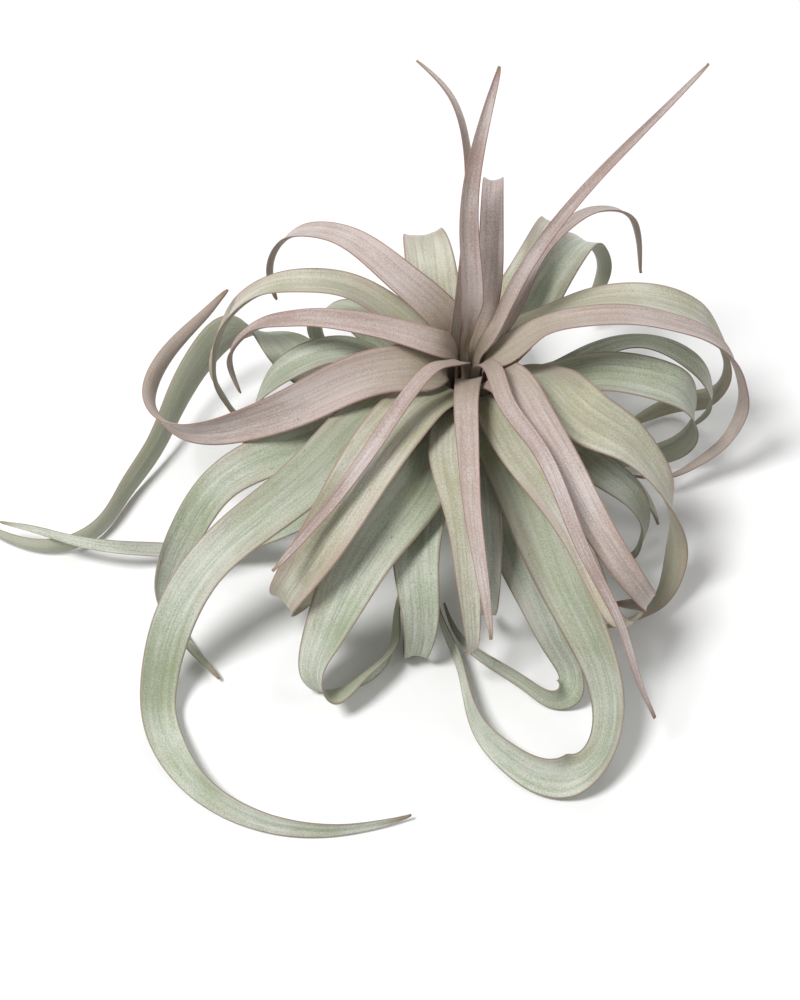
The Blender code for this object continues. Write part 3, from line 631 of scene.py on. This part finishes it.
def leaf_tree():
    tree = bpy.data.node_groups.new("leaf_body", "GeometryNodeTree")
    tree.interface.new_socket("Geometry", in_out="INPUT", socket_type="NodeSocketGeometry")
    for name in TREE_SIZES:
        tree.interface.new_socket(name, in_out="INPUT", socket_type="NodeSocketFloat")
    tree.interface.new_socket("Material", in_out="INPUT", socket_type="NodeSocketMaterial")
    tree.interface.new_socket("Geometry", in_out="OUTPUT", socket_type="NodeSocketGeometry")
    given = tree.nodes.new("NodeGroupInput").outputs
    result = tree.nodes.new("NodeGroupOutput").inputs[0]

    def stored(name):
        node = tree.nodes.new("GeometryNodeInputNamedAttribute")
        node.data_type = "FLOAT"
        node.inputs["Name"].default_value = name
        return node.outputs["Attribute"]

    across, along = stored("leaf_across"), stored("leaf_along")
    sideways, share = stored("leaf_sideways"), stored("leaf_share")
    normal = tree.nodes.new("GeometryNodeInputNormal").outputs[0]
    started = math_node(tree, "MULTIPLY", share, 1.0 / RIPPLE_START, clamp=True)

    # A slow ripple, and fine ribs that run lengthwise.
    wobble = tree.nodes.new("ShaderNodeTexNoise")
    wobble.noise_dimensions = "4D"
    wobble.inputs["Scale"].default_value = 1.0
    wobble.inputs["Detail"].default_value = 1.5
    ripples_along = math_node(tree, "DIVIDE", along, given["Ripple Length"])
    where = combine(tree, ripples_along, scaled(tree, across, RIPPLE_ACROSS), 0.0)
    link(tree, where, wobble.inputs["Vector"])
    link(tree, given["Seed"], wobble.inputs["W"])
    centred = math_node(tree, "SUBTRACT", wobble.outputs[0], 0.5)
    ripple = scaled(tree, centred, given["Ripple Height"])
    turn = math_node(tree, "DIVIDE", scaled(tree, sideways, 2.0 * math.pi), given["Rib Pitch"])
    rib = scaled(tree, math_node(tree, "SINE", turn), given["Rib Height"])

    # The body is thinner at its margins, and half of it lies on each side of the sheet.
    outward = math_node(tree, "POWER", math_node(tree, "ABSOLUTE", across), 2.0)
    thin = scaled(tree, outward, inverse(tree, given["Margin Share"]))
    body = scaled(tree, given["Thickness"], inverse(tree, thin))
    move = added(tree, scaled(tree, ripple, started), scaled(tree, rib, started))
    move = math_node(tree, "SUBTRACT", move, scaled(tree, body, 0.5))
    offset = tree.nodes.new("ShaderNodeVectorMath")
    offset.operation = "SCALE"
    link(tree, normal, offset.inputs[0])
    link(tree, move, offset.inputs["Scale"])
    shift = tree.nodes.new("GeometryNodeSetPosition")
    link(tree, given["Geometry"], shift.inputs["Geometry"])
    link(tree, offset.outputs[0], shift.inputs["Offset"])

    # The sheet is pulled out to its underside, and a flipped copy of it closes the upper face.
    # Its underside faces are marked, and the leaf material paints shade on them.
    pull = tree.nodes.new("GeometryNodeExtrudeMesh")
    pull.inputs["Individual"].default_value = False
    link(tree, shift.outputs[0], pull.inputs["Mesh"])
    link(tree, body, pull.inputs["Offset Scale"])
    flip = tree.nodes.new("GeometryNodeFlipFaces")
    link(tree, shift.outputs[0], flip.inputs[0])

    def marked(geometry, value):
        node = tree.nodes.new("GeometryNodeStoreNamedAttribute")
        node.data_type, node.domain = "FLOAT", "FACE"
        node.inputs["Name"].default_value = "leaf_under"
        link(tree, geometry, node.inputs["Geometry"])
        if isinstance(value, float):
            node.inputs["Value"].default_value = value
        else:
            link(tree, value, node.inputs["Value"])
        return node.outputs[0]

    both = tree.nodes.new("GeometryNodeJoinGeometry")
    link(tree, marked(pull.outputs["Mesh"], pull.outputs["Top"]), both.inputs[0])
    link(tree, marked(flip.outputs[0], 0.0), both.inputs[0])
    weld = tree.nodes.new("GeometryNodeMergeByDistance")
    weld.inputs["Distance"].default_value = WELD_DISTANCE
    link(tree, both.outputs[0], weld.inputs["Geometry"])
    smooth = tree.nodes.new("GeometryNodeSetShadeSmooth")
    link(tree, weld.outputs[0], smooth.inputs["Geometry"])
    real = tree.nodes.new("GeometryNodeRealizeInstances")
    link(tree, smooth.outputs[0], real.inputs[0])
    paint = tree.nodes.new("GeometryNodeSetMaterial")
    link(tree, real.outputs[0], paint.inputs["Geometry"])
    link(tree, given["Material"], paint.inputs["Material"])
    link(tree, paint.outputs[0], result)
    return tree


LEAF_TREE = leaf_tree()
SOCKETS = {socket.name: socket.identifier for socket in LEAF_TREE.interface.items_tree
           if socket.in_out == "INPUT"}
print("leaf tree inputs:", [name for name in SOCKETS if name != "Geometry"])

# %% [markdown]
# ## The leaves
# Each sheet gets the tree as a modifier and its inputs by socket. The evaluated result is then kept as a
# plain mesh, because a plain mesh exports and bakes the same everywhere.

# %% Make the leaves
BODY_THICKNESS = {"heart": 0.85, "inner": 0.95, "middle": 1.0, "outer": 1.0, "hidden": 1.0}
MARGIN_SHARE = 0.35             # of the full thickness, left at the margins
RIPPLE_HEIGHT = (0.6, 0.05)     # for any leaf, and more for each millimetre of width
RIPPLE_LENGTH = 26.0            # and a wider leaf's ripple is longer by its width
RIB_HEIGHT = 0.035
SEED_STEP, SEED_START = 3.17, 0.4


def settle(made, modifier_inputs):
    """Runs the tree on an object and keeps the result as its plain mesh."""
    modifier = made.modifiers.new("leaf_body", "NODES")
    modifier.node_group = LEAF_TREE
    for name, value in modifier_inputs.items():
        modifier[SOCKETS[name]] = value
    graph = bpy.context.evaluated_depsgraph_get()
    mesh = bpy.data.meshes.new_from_object(
        made.evaluated_get(graph), preserve_all_data_layers=True, depsgraph=graph)
    made.modifiers.clear()
    made.data = mesh
    mesh.name = made.name


collection = bpy.data.collections.new("air_plant")
bpy.context.scene.collection.children.link(collection)
triangles = 0
for leaf, name in zip(LEAVES, leaf_names):
    tier, _, rank, width, _ = leaf
    piece = bpy.data.objects.new(f"{name}_skin", sheet_mesh(name, leaf))
    collection.objects.link(piece)
    settle(piece, {
        "Thickness": BODY_THICKNESS[tier] * MM,
        "Margin Share": MARGIN_SHARE,
        "Ripple Height": (RIPPLE_HEIGHT[0] + RIPPLE_HEIGHT[1] * width) * MM,
        "Ripple Length": (RIPPLE_LENGTH + width) * MM,
        "Rib Height": RIB_HEIGHT * MM,
        "Rib Pitch": VEIN_PITCH,
        "Seed": SEED_STEP * rank + SEED_START,
        "Material": leaf_materials[tier],
    })
    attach(piece, "root")
    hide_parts(name)
    triangles += sum(len(face.vertices) - 2 for face in piece.data.polygons)
print("leaves made:", len(LEAVES), "triangles:", triangles)

# %% [markdown]
# ## The stem
# The stem is a turned shape. Old leaf scars run round it in spirals, as a small wave cut into its radius.
# It could be a Screw modifier on a profile, but the wave needs each ring's own radius, so the rings are
# worked out in a loop. It is nearly hidden, so one mesh and a plain woody material are enough.

# %% Make the stem
STEM_ROWS, STEM_COLUMNS = 90, 96
SCAR_HEIGHT = 0.35
SCAR_ROWS = 13
SCAR_STARTS = 3                 # spirals of scars that start side by side


def stem_mesh():
    """Rings from the cut base to the top, closed by a fan at each end."""
    points = []
    for share in np.linspace(0.0, 1.0, STEM_ROWS):
        height = share * STEM_PROFILE[0][1]
        for column in range(STEM_COLUMNS):
            angle = 2.0 * math.pi * column / STEM_COLUMNS
            scar = math.sin(SCAR_ROWS * 2.0 * math.pi * share + SCAR_STARTS * angle)
            calm = min(1.0, 12.0 * share) * min(1.0, 6.0 * (1.0 - share))
            radius = stem_radius(height) + SCAR_HEIGHT * (scar - 1.0) * calm * 0.5
            points.append((radius * math.cos(angle) * MM, radius * math.sin(angle) * MM, height * MM))
    faces = [(row * STEM_COLUMNS + column, row * STEM_COLUMNS + (column + 1) % STEM_COLUMNS,
              (row + 1) * STEM_COLUMNS + (column + 1) % STEM_COLUMNS, (row + 1) * STEM_COLUMNS + column)
             for row in range(STEM_ROWS - 1) for column in range(STEM_COLUMNS)]
    faces.append(tuple(reversed(range(STEM_COLUMNS))))
    faces.append(tuple((STEM_ROWS - 1) * STEM_COLUMNS + column for column in range(STEM_COLUMNS)))
    mesh = bpy.data.meshes.new("stem_wood")
    mesh.from_pydata(points, [], faces)
    mesh.shade_smooth()
    return mesh


BARK_DARK, BARK, BARK_DRY = (0.13, 0.085, 0.05), (0.34, 0.25, 0.16), (0.42, 0.36, 0.26)


def stem_material():
    made = bpy.data.materials.new("stem_wood")
    made.use_nodes = True
    tree = made.node_tree
    shader = tree.nodes["Principled BSDF"]
    body = object_place(tree)
    fibres = noise(tree, body, 420.0, 5.0, 0.65)
    patches = noise(tree, body, 90.0, 3.0)
    colour = mix(tree, ramp(tree, fibres, 0.35, 0.68), BARK_DARK, BARK)
    colour = mix(tree, scaled(tree, ramp(tree, patches, 0.5, 0.7), 0.5), colour, BARK_DRY)
    link(tree, colour, shader.inputs["Base Color"])
    shader.inputs["Roughness"].default_value = 0.88
    add_bump(tree, shader, fibres, strength=0.8, distance=0.5 * MM)
    return made


stem = bpy.data.objects.new("stem_wood", stem_mesh())
stem.data.materials.append(stem_material())
collection.objects.link(stem)
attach(stem, "root")
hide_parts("stem")
print("stem made:", len(stem.data.polygons), "faces")

# %% [markdown]
# ## Studio
# A pale floor takes the plant's soft shadow. One broad lamp from the upper left models the curls, a second
# fills from the right, a third lights the back, and an even pale world keeps the shaded throats readable.
# Further out the floor fades to the white of the background. Both are white only to the camera and in
# reflections, so they add no light to the plant.

# %% Floor
FLOOR_SIZE = 6.0
FLOOR_COLOUR = (0.86, 0.86, 0.86, 1.0)
WHITE = (1.0, 1.0, 1.0, 1.0)
SHADOW_REACH = (0.34, 0.80)     # from the origin, where the lit floor starts and ends its fade to white


def seen_directly(tree):
    """1 for what the camera sees, straight or in gloss or glass, and 0 for light that falls on things."""
    paths = tree.nodes.new("ShaderNodeLightPath").outputs
    seen = added(tree, paths["Is Camera Ray"], paths["Is Glossy Ray"])
    return math_node(tree, "ADD", seen, paths["Is Transmission Ray"], clamp=True)


def floor_material():
    made = bpy.data.materials.new("pale_floor")
    made.use_nodes = True
    tree = made.node_tree
    shader = tree.nodes["Principled BSDF"]
    shader.inputs["Base Color"].default_value = FLOOR_COLOUR
    shader.inputs["Roughness"].default_value = 0.9
    shader.inputs["Specular IOR Level"].default_value = 0.1
    far = tree.nodes.new("ShaderNodeVectorMath")
    far.operation = "LENGTH"
    link(tree, object_place(tree), far.inputs[0])
    plain = tree.nodes.new("ShaderNodeEmission")
    plain.inputs["Color"].default_value = WHITE
    fading = tree.nodes.new("ShaderNodeMixShader")
    reached = ramp(tree, far.outputs["Value"], *SHADOW_REACH)
    link(tree, scaled(tree, reached, seen_directly(tree)), fading.inputs[0])
    link(tree, shader.outputs[0], fading.inputs[1])
    link(tree, plain.outputs[0], fading.inputs[2])
    link(tree, fading.outputs[0], tree.nodes["Material Output"].inputs["Surface"])
    return made


half = FLOOR_SIZE / 2.0
corners = [(-half, -half, 0.0), (half, -half, 0.0), (half, half, 0.0), (-half, half, 0.0)]
floor_shape = bpy.data.meshes.new("floor")
floor_shape.from_pydata(corners, [], [(0, 1, 2, 3)])
floor = bpy.data.objects.new("floor", floor_shape)
floor_shape.materials.append(floor_material())
bpy.context.scene.collection.objects.link(floor)
print("floor:", FLOOR_SIZE, "m square")

# %% Lamps and world
LAMP_AIM = Vector((0.0, 0.0, 0.08))
LAMPS = {
    # name: place, diameter, power
    "key": ((-0.8, -0.5, 1.6), 0.6, 30.0),
    "fill": ((1.3, -0.5, 1.1), 1.2, 5.0),
    "back": ((0.2, 1.4, 1.3), 1.0, 10.0),
}
WORLD_LIGHT = 0.30

for name, (where, size, power) in LAMPS.items():
    data = bpy.data.lights.new(name, "AREA")
    data.shape = "DISK"
    data.size = size
    data.energy = power
    lamp = bpy.data.objects.new(name, data)
    lamp.location = where
    lamp.rotation_euler = (LAMP_AIM - Vector(where)).to_track_quat("-Z", "Y").to_euler()
    bpy.context.scene.collection.objects.link(lamp)

world = bpy.data.worlds.new("studio")
bpy.context.scene.world = world
world.use_nodes = True
tree = world.node_tree
tree.nodes.clear()
lit = tree.nodes.new("ShaderNodeBackground")
lit.inputs["Color"].default_value = WHITE
lit.inputs["Strength"].default_value = WORLD_LIGHT
white = tree.nodes.new("ShaderNodeBackground")
white.inputs["Strength"].default_value = 1.0
white.inputs["Color"].default_value = WHITE
choice = tree.nodes.new("ShaderNodeMixShader")
link(tree, seen_directly(tree), choice.inputs[0])
link(tree, lit.outputs[0], choice.inputs[1])
link(tree, white.outputs[0], choice.inputs[2])
link(tree, choice.outputs[0], tree.nodes.new("ShaderNodeOutputWorld").inputs["Surface"])
bpy.context.scene.view_settings.view_transform = "Standard"
print("lamps:", sorted(LAMPS))

# %% [markdown]
# ## Camera
# The camera stands in front of the plant and looks down into the rosette at a steep angle, through a long
# lens, which keeps near and far leaves at much the same scale.

# %% Camera
CAMERA_PLACE = (-0.02856, -0.5759, 0.6340)
CAMERA_DOWN = 48.0
CAMERA_LENS = 68.57

camera_data = bpy.data.cameras.new("camera")
camera_data.lens = CAMERA_LENS
camera_data.sensor_width = 36.0
camera_data.clip_start = 0.02
camera = bpy.data.objects.new("camera", camera_data)
camera.location = CAMERA_PLACE
camera.rotation_euler = (math.radians(90.0 - CAMERA_DOWN), 0.0, 0.0)
bpy.context.scene.collection.objects.link(camera)
bpy.context.scene.camera = camera
print("camera at", CAMERA_PLACE)
